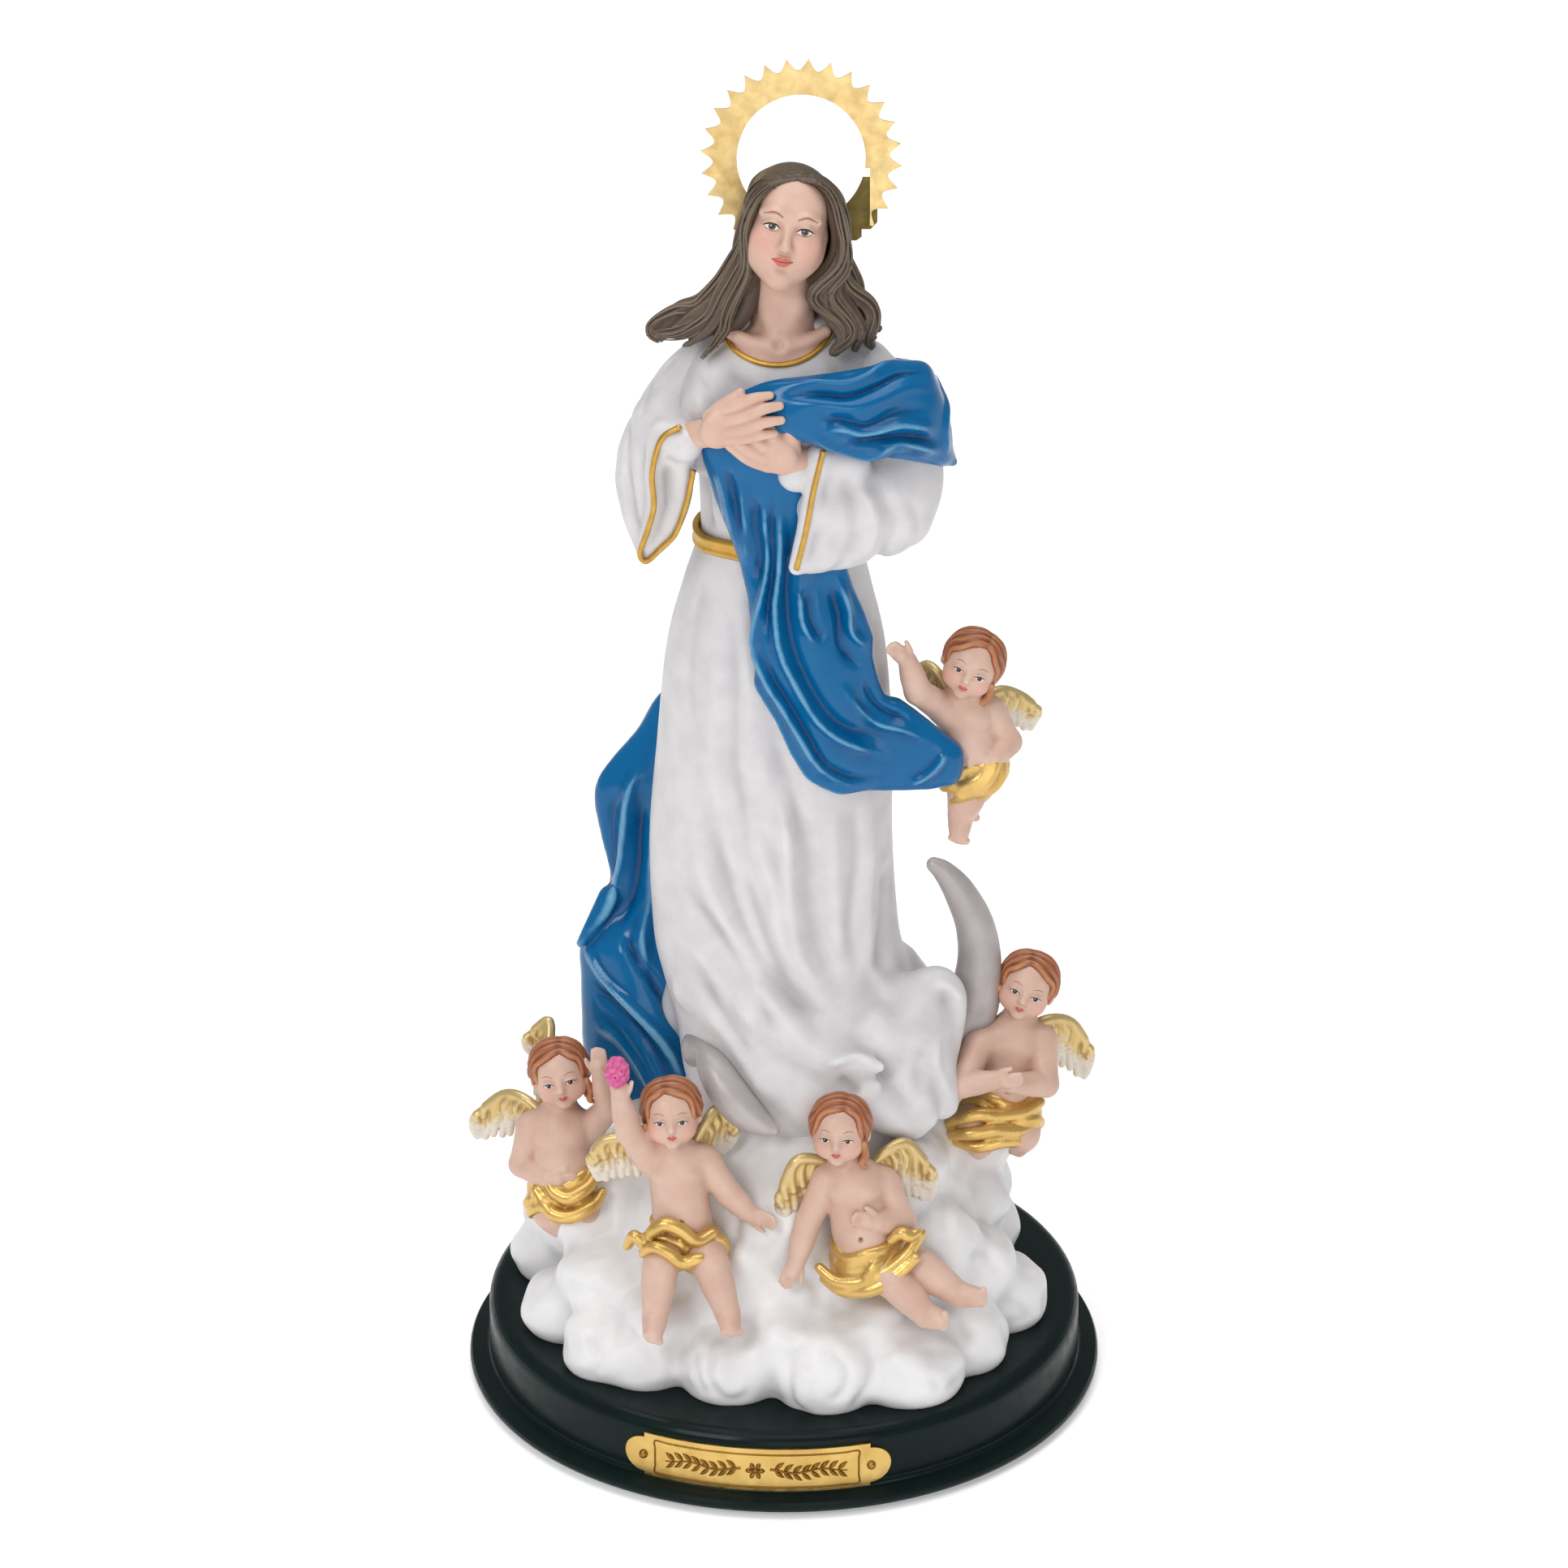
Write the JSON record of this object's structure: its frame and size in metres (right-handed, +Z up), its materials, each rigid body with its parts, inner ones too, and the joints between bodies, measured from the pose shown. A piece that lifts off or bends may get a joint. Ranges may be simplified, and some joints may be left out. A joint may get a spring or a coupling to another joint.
{
  "type": "madonna statue",
  "caption": "Robed standing figure with crossed hands, cherubs and a crescent on a cloud, on a round plinth, with a toothed sheet halo that lifts out of its socket.",
  "frame": {"origin": "centre of the felt pad's underside, on the table", "axes": "+Z up, +X to the figure's left hand, -Y the way the figure faces"},
  "size_m": [0.1396, 0.1396, 0.3007],
  "materials": {
    "felt": "matte felt",
    "plinth_lacquer": "satin lacquer",
    "screw_steel": "plain",
    "plate_brass": "satin",
    "pin_brass": "polished",
    "cloud_white": "satin painted resin",
    "moon_silver": "silver-grey painted resin",
    "gown_white": "matte painted resin",
    "gold_paint": "gold painted resin",
    "mantle_blue": "gloss painted resin",
    "skin": "matte painted resin",
    "hair_brown": "matte painted resin",
    "socket_brass": "satin",
    "halo_gold": "satin gilt sheet",
    "bracket_brass": "dark aged",
    "flower_pink": "painted resin",
    "cherub_skin": "matte painted resin",
    "cherub_hair": "matte painted resin",
    "drape_gold": "bright gold painted resin",
    "wing_gold": "white resin brushed with gold"
  },
  "bodies": {
    "statue": {"felt_pad": "felt", "plinth": "plinth_lacquer", "plinth_screws": "screw_steel", "nameplate": "plate_brass", "nameplate_pins": "pin_brass", "cloud": "cloud_white", "crescent_moon": "moon_silver", "gown": "gown_white", "belt": "gold_paint", "bodice": "gown_white", "right_sleeve": "gown_white", "left_sleeve": "gown_white", "sleeve_trims": "gold_paint", "neck_trim": "gold_paint", "shoulder_mantle": "mantle_blue", "mantle_sash": "mantle_blue", "mantle_back": "mantle_blue", "head": "skin", "hair": "hair_brown", "right_hand": "skin", "left_hand": "skin", "halo_socket": "socket_brass", "flower": "flower_pink", "flying_cherub_body": "cherub_skin", "flying_cherub_hair": "cherub_hair", "flying_cherub_drape": "drape_gold", "flying_cherub_wings": "wing_gold", "right_cherub_body": "cherub_skin", "right_cherub_hair": "cherub_hair", "right_cherub_drape": "drape_gold", "right_cherub_wings": "wing_gold", "left_cherub_body": "cherub_skin", "left_cherub_hair": "cherub_hair", "left_cherub_drape": "drape_gold", "left_cherub_wings": "wing_gold", "seated_cherub_body": "cherub_skin", "seated_cherub_hair": "cherub_hair", "seated_cherub_drape": "drape_gold", "seated_cherub_wings": "wing_gold", "reclining_cherub_body": "cherub_skin", "reclining_cherub_hair": "cherub_hair", "reclining_cherub_drape": "drape_gold", "reclining_cherub_wings": "wing_gold"},
    "halo_assembly": {"halo": "halo_gold", "halo_bracket": "bracket_brass", "halo_stem": "socket_brass"}
  },
  "joints": [
    {"name": "halo_lift", "type": "slide", "parent": "statue", "child": "halo_assembly", "axis": [0, 0.2419, 0.9703], "range_m": [0, 0.012]}
  ]
}
